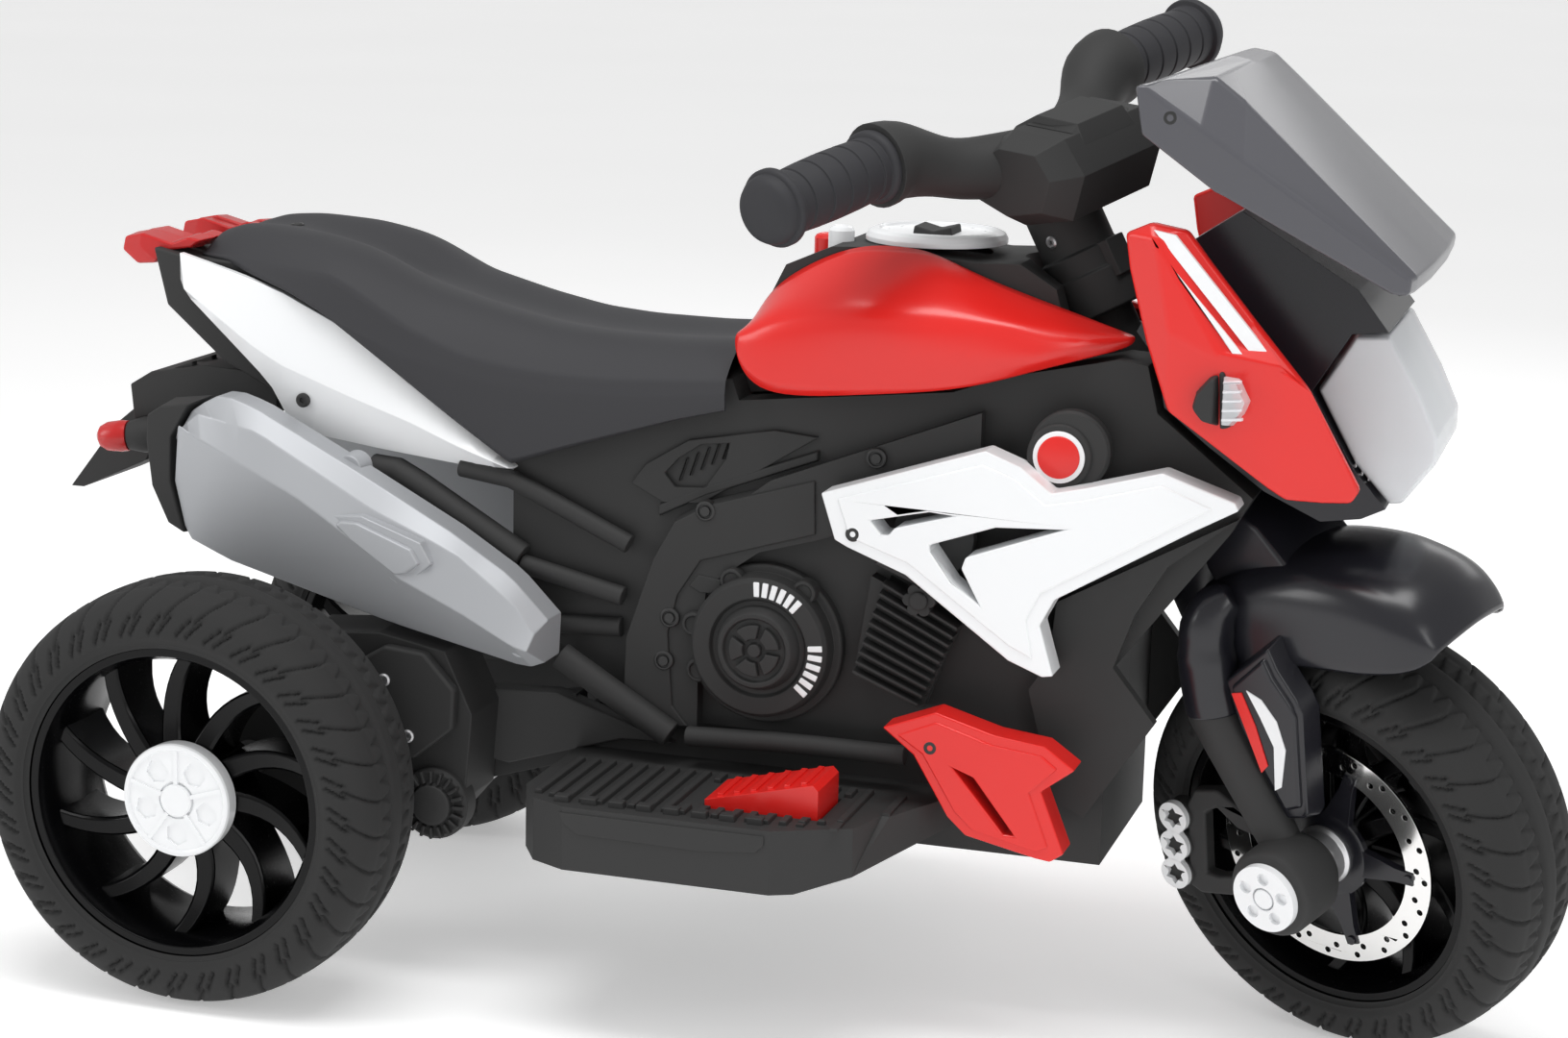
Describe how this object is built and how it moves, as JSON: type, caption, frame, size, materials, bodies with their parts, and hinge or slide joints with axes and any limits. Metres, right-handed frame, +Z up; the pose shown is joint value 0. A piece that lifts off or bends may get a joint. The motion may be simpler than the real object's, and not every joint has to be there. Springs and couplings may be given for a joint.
{
  "type": "ride-on tricycle",
  "caption": "Children's battery ride-on motorcycle with two rear wheels, steered front wheel, saddle, footboards, silencers, screen and throttle pedal.",
  "frame": {"origin": "on the ground below the middle of the overall length, on the centre plane", "axes": "+X forward, +Y to the rider's left, +Z up"},
  "size_m": [0.8582, 0.402, 0.5397],
  "materials": {
    "seat_black": "grained moulded plastic, satin",
    "body_black": "moulded plastic with a fine spark-eroded grain",
    "gloss_black": "polished moulded plastic",
    "panel_red": "polished moulded plastic",
    "panel_white": "polished moulded plastic",
    "exhaust_silver": "silver metallic coat on plastic",
    "lamp_red": "translucent red moulding",
    "lens_clear": "clear moulding",
    "screen_smoked": "dark smoked moulding",
    "grip_black": "ribbed soft moulding",
    "tyre_black": "matte moulded tread",
    "steel": "zinc plated steel",
    "disc_chrome": "chromed stamping",
    "spacer_aluminium": "turned finish",
    "battery_grey": "sealed battery case",
    "bush_black": "plain moulded plastic",
    "screw_black": "blackened screw"
  },
  "bodies": {
    "frame": {"seat": "seat_black", "tail_shell": "body_black", "tail_panels": "panel_white", "tail_lamp": "lamp_red", "rear_fender": "body_black", "indicator_pods": "body_black", "indicator_lenses": "lens_clear", "exhausts": "exhaust_silver", "exhaust_caps": "body_black", "body_shell_left": "body_black", "body_shell_right": "body_black", "steering_bushes": "bush_black", "clutch_covers": "body_black", "side_fairings": "panel_white", "belly_fairings": "panel_red", "tank_covers": "panel_red", "tank_top": "body_black", "tank_cap": "panel_white", "chassis_tray": "body_black", "pedal_spring": "steel", "pedal_pin": "steel", "swing_arms": "body_black", "frame_tubes": "body_black", "gearbox_case": "body_black", "gearbox_cover": "body_black", "drive_motor": "steel", "battery": "battery_grey", "control_box": "bush_black", "speaker": "bush_black", "headlight_housing": "gloss_black", "headlight_lens": "lens_clear", "front_cowls": "panel_red", "windshield": "screen_smoked", "rear_axle": "steel", "axle_spacers": "body_black", "axle_nuts": "steel", "body_screws": "screw_black"},
    "steering": {"steering_stem": "body_black", "handlebar": "body_black", "grips": "grip_black", "fork_crown": "gloss_black", "fork_legs": "gloss_black", "brake_calipers": "body_black", "caliper_plates": "panel_white", "front_axle": "steel", "front_axle_caps": "panel_white"},
    "front_wheel": {"front_tyre": "tyre_black", "front_rim": "gloss_black", "brake_discs": "disc_chrome", "hub_spacers": "spacer_aluminium"},
    "rear_wheel_left": {"rear_tyre_left": "tyre_black", "rear_rim_left": "gloss_black", "hub_cap_left": "panel_white"},
    "rear_wheel_right": {"rear_tyre_right": "tyre_black", "rear_rim_right": "gloss_black", "hub_cap_right": "panel_white"},
    "pedal": {"throttle_pedal": "panel_red"},
    "rocker": {"direction_switch": "body_black"},
    "power_key": {"power_button": "panel_white"},
    "horn_key": {"horn_button": "panel_red"}
  },
  "joints": [
    {"name": "steering_turn", "type": "hinge", "parent": "frame", "child": "steering", "pos_m": [0.3045, 0, 0.1156], "axis": [-0.4571, 0, 0.8894], "range_deg": [-5, 61]},
    {"name": "front_wheel_spin", "type": "hinge", "parent": "steering", "child": "front_wheel", "pos_m": [0.31666, -0.0056, 0.11496], "axis": [0.4176, 0.8829, 0.2146], "continuous": true},
    {"name": "rear_wheel_left_spin", "type": "hinge", "parent": "frame", "child": "rear_wheel_left", "pos_m": [-0.2801, 0.162, 0.115], "axis": [0, 1, 0], "continuous": true},
    {"name": "rear_wheel_right_spin", "type": "hinge", "parent": "frame", "child": "rear_wheel_right", "pos_m": [-0.2801, -0.162, 0.115], "axis": [0, 1, 0], "continuous": true},
    {"name": "throttle_press", "type": "hinge", "parent": "frame", "child": "pedal", "pos_m": [0.0029, -0.124, 0.1245], "axis": [0, 1, 0], "range_deg": [0, 6], "stiffness_Nm_per_rad": 0.8, "springref_deg": -8.59, "deforming": ["pedal_spring"]},
    {"name": "direction_rock", "type": "hinge", "parent": "frame", "child": "rocker", "pos_m": [0.0749, 0, 0.4132], "axis": [0, 1, 0], "range_deg": [-8, 8]},
    {"name": "power_press", "type": "slide", "parent": "frame", "child": "power_key", "axis": [0, 0, -1], "range_m": [0, 0.002], "stiffness_N_per_m": 300, "springref_m": -0.002},
    {"name": "horn_press", "type": "slide", "parent": "frame", "child": "horn_key", "axis": [0, 0, -1], "range_m": [0, 0.002], "stiffness_N_per_m": 300, "springref_m": -0.002}
  ]
}
